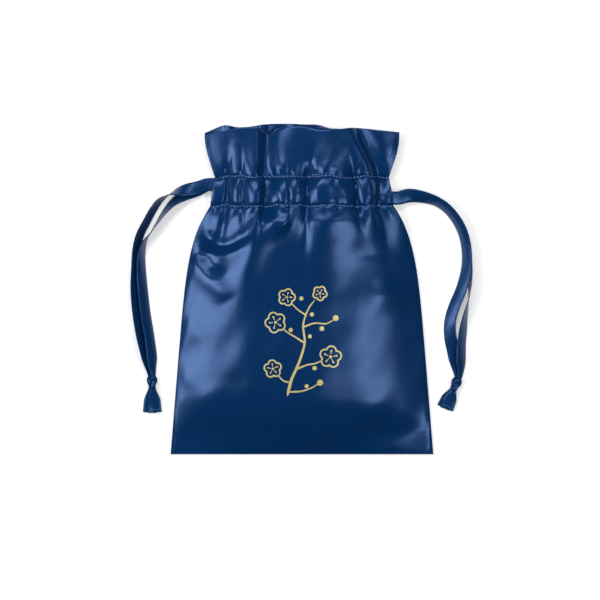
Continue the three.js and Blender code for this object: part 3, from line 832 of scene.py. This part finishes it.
def addBump(nodes, links, shader, height, strength, distance):
    bump = nodes.new("ShaderNodeBump")
    setInputs(bump, {"Strength": strength, "Distance": distance})
    links.new(height, bump.inputs["Height"])
    links.new(bump.outputs["Normal"], shader.inputs["Normal"])


satinLook = {
    "shine": (0.3, 0.5, 1.0), "sheen": 0.02, "sheenRough": 0.4, "specular": 0.66,
    "thread": (420.0, 40.0), "slub": (95.0, 7.0), "detail": 2.0, "slubShare": 0.55,
    "cloud": 3.0, "cloudDetail": 3.0, "weaveShare": 0.4,
    "glossFrom": (0.3, 0.7), "smoother": 0.05, "rougher": 0.06, "bump": (0.2, 0.0004),
}
clothLook = {"deep": (0.0005, 0.025, 0.1), "light": (0.001, 0.035, 0.138), "roughness": 0.22, "grain": 0.35}
ribbonLook = {"deep": (0.0008, 0.026, 0.1), "light": (0.0016, 0.038, 0.14), "roughness": 0.26, "grain": 0.25}


def satin(name, look):
    material, nodes, links, shader = newMaterial(name)
    coords = nodes.new("ShaderNodeUVMap")
    coords.uv_map = "cloth"

    def streaks(across, upward):  # threads run up the cloth, so the noise is drawn out along them
        stretch = nodes.new("ShaderNodeMapping")
        setInputs(stretch, {"Scale": (across, upward, 1)})
        links.new(coords.outputs["UV"], stretch.inputs["Vector"])
        return addNoise(nodes, links, stretch.outputs["Vector"], 1.0, satinLook["detail"])

    def mixed(first, second, share):
        node = nodes.new("ShaderNodeMixRGB")
        setInputs(node, {"Fac": share})
        links.new(first, node.inputs["Color1"])
        links.new(second, node.inputs["Color2"])
        return node.outputs["Color"]

    weave = mixed(streaks(*satinLook["thread"]), streaks(*satinLook["slub"]), satinLook["slubShare"])
    cloud = addNoise(nodes, links, coords.outputs["UV"], satinLook["cloud"], satinLook["cloudDetail"])
    addTone(nodes, links, shader, mixed(cloud, weave, satinLook["weaveShare"]), look["deep"], look["light"])
    addRange(nodes, links, weave, shader.inputs["Roughness"], {
        "From Min": satinLook["glossFrom"][0], "From Max": satinLook["glossFrom"][1],
        "To Min": look["roughness"] - satinLook["smoother"], "To Max": look["roughness"] + satinLook["rougher"],
    })
    addBump(nodes, links, shader, weave, *satinLook["bump"])
    grain = nodes.new("ShaderNodeTangent")
    grain.direction_type = "UV_MAP"
    grain.uv_map = "cloth"
    links.new(grain.outputs["Tangent"], shader.inputs["Tangent"])
    setInputs(shader, {
        "Anisotropic": look["grain"], "Specular IOR Level": satinLook["specular"],
        "Sheen Weight": satinLook["sheen"], "Sheen Roughness": satinLook["sheenRough"],
        "Specular Tint": (*satinLook["shine"], 1), "Sheen Tint": (*satinLook["shine"], 1),
    })
    return material


clothSatin = satin("navySatin", clothLook)
ribbonSatin = satin("navyRibbon", ribbonLook)

# The thread's pale blue is partly its own colour and partly painted highlight: it is lightened to stand in for light
# catching on the stitches and puckers.
threadLook = {"threadWithPaintedHighlight": (0.2, 0.31, 0.56), "roughness": 0.4, "ply": 900, "bump": (0.4, 0.0001)}


def threadMaterial():
    material, nodes, links, shader = newMaterial("navyThread")
    coords = nodes.new("ShaderNodeTexCoord")
    ply = nodes.new("ShaderNodeTexWave")
    setInputs(ply, {"Scale": threadLook["ply"]})
    links.new(coords.outputs["Object"], ply.inputs["Vector"])
    addBump(nodes, links, shader, ply.outputs["Fac"], *threadLook["bump"])
    setInputs(shader, {"Base Color": (*threadLook["threadWithPaintedHighlight"], 1), "Roughness": threadLook["roughness"]})
    return material


sewingThread = threadMaterial()

foilLook = {"shade": (0.62, 0.5, 0.17), "light": (0.92, 0.82, 0.38), "metal": 0.25, "wear": 260, "wearDetail": 3,
            "gloss": (0.28, 0.5), "bump": (0.2, 0.0003)}


def foilMaterial():
    material, nodes, links, shader = newMaterial("paleGoldFoil")
    coords = nodes.new("ShaderNodeTexCoord")
    wear = addNoise(nodes, links, coords.outputs["Object"], foilLook["wear"], foilLook["wearDetail"])
    addTone(nodes, links, shader, wear, foilLook["shade"], foilLook["light"])
    smooth, rough = foilLook["gloss"]
    addRange(nodes, links, wear, shader.inputs["Roughness"], {"To Min": smooth, "To Max": rough})
    addBump(nodes, links, shader, wear, *foilLook["bump"])
    setInputs(shader, {"Metallic": foilLook["metal"]})
    return material


goldFoil = foilMaterial()

dress = [
    (front["obj"], clothSatin, "satin_cloth", ["front_panel"]),
    (back["obj"], clothSatin, "satin_cloth", ["back_panel"]),
    (threads["front"], sewingThread, "satin_cloth", []),
    (threads["back"], sewingThread, "satin_cloth", []),
    (foil["obj"], goldFoil, "satin_cloth", []),
    (knots["left"]["hem"], sewingThread, "satin_ribbon", []),
    (knots["right"]["hem"], sewingThread, "satin_ribbon", []),
    (knots["left"]["obj"], ribbonSatin, "satin_ribbon", ["left_knot"]),
    (knots["right"]["obj"], ribbonSatin, "satin_ribbon", ["right_knot"]),
]
for key, strand in strands.items():
    dress.append((strand["obj"], ribbonSatin, "satin_ribbon", [key.split("_")[0] + "_ribbon"]))
for obj, material, slot, nodesReplaced in dress:
    obj.data.materials.clear()
    obj.data.materials.append(material)
    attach(obj, "root")
    if nodesReplaced:
        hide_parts(*nodesReplaced)

# Each strand's route, in metres
for key, strand in strands.items():
    line = strand["line"][:, :3] * mm

# Table, lamps and camera
tableLook = {"half": 3000, "grain": 40, "tone": (0.86, 0.88), "roughness": 0.9, "specular": 0.1, "glow": 0.42}
corners = [(x * tableLook["half"], y * tableLook["half"], 0) for x, y in ((-1, -1), (1, -1), (1, 1), (-1, 1))]
floor = makeMesh("table", corners, [(0, 1, 2, 3)])
floorPaint, nodes, links, shader = newMaterial("paleTable")
grainNoise = nodes.new("ShaderNodeTexNoise")
setInputs(grainNoise, {"Scale": tableLook["grain"]})
darker, lighter = tableLook["tone"]
addRange(nodes, links, grainNoise.outputs["Fac"], shader.inputs["Base Color"], {"To Min": darker, "To Max": lighter})
setInputs(shader, {"Roughness": tableLook["roughness"], "Specular IOR Level": tableLook["specular"]})
glow = nodes.new("ShaderNodeEmission")  # lifts the table to white where it is seen, and its shadow stays
rays = nodes.new("ShaderNodeLightPath")
seen = rays.outputs["Is Camera Ray"]
for kind in ("Is Glossy Ray", "Is Transmission Ray"):
    both = nodes.new("ShaderNodeMath")
    both.operation = "MAXIMUM"
    links.new(seen, both.inputs[0])
    links.new(rays.outputs[kind], both.inputs[1])
    seen = both.outputs["Value"]
lift = nodes.new("ShaderNodeMath")
lift.operation = "MULTIPLY"
lift.inputs[1].default_value = tableLook["glow"]
links.new(seen, lift.inputs[0])
links.new(lift.outputs["Value"], glow.inputs["Strength"])
together = nodes.new("ShaderNodeAddShader")
links.new(shader.outputs["BSDF"], together.inputs[0])
links.new(glow.outputs["Emission"], together.inputs[1])
links.new(together.outputs["Shader"], nodes["Material Output"].inputs["Surface"])
floor.data.materials.append(floorPaint)

studio = {
    "view": (-1.5, -8.6), "distance": 2200.0, "sensor": 36, "far": 100, "room": 0.06,
    "frameWidth": 454.5, "frameLevel": 12,  # how wide the picture is, at that height off the table
    "lamps": [  # place, size and power of each softbox; all face the middle of the pouch
        ("leftBox", (-1.27, 0.17, 1.2), (0.68, 0.82), 14.5),
        ("rightBox", (0.68, -0.2, 1.35), (0.72, 0.24), 6),
        ("neckBox", (0.72, 0.5, 1.35), (0.2, 0.3), 1),
        ("headBox", (-0.239, 0.958, 1.3), (1.191, 0.311), 8.24),
    ],
}
for name, place, size, power in studio["lamps"]:
    lamp = bpy.data.lights.new(name, "AREA")
    lamp.shape = "RECTANGLE"
    lamp.size, lamp.size_y = size
    lamp.energy = power
    obj = bpy.data.objects.new(name, lamp)
    obj.location = place
    obj.rotation_euler = (-Vector(place)).to_track_quat("-Z", "Y").to_euler()
    scene.collection.objects.link(obj)
world = bpy.data.worlds.new("room")
world.use_nodes = True
setInputs(world.node_tree.nodes["Background"], {"Color": (1, 1, 1, 1), "Strength": studio["room"]})
scene.world = world

camera = bpy.data.cameras.new("fromAbove")
camera.sensor_width = studio["sensor"]
camera.lens = studio["sensor"] * (studio["distance"] - studio["frameLevel"]) / studio["frameWidth"]
camera.clip_end = studio["far"]
eye = bpy.data.objects.new("fromAbove", camera)
eye.location = (studio["view"][0] * mm, studio["view"][1] * mm, studio["distance"] * mm)
scene.collection.objects.link(eye)
scene.camera = eye
scene.view_settings.view_transform = "Standard"
print("studio set")
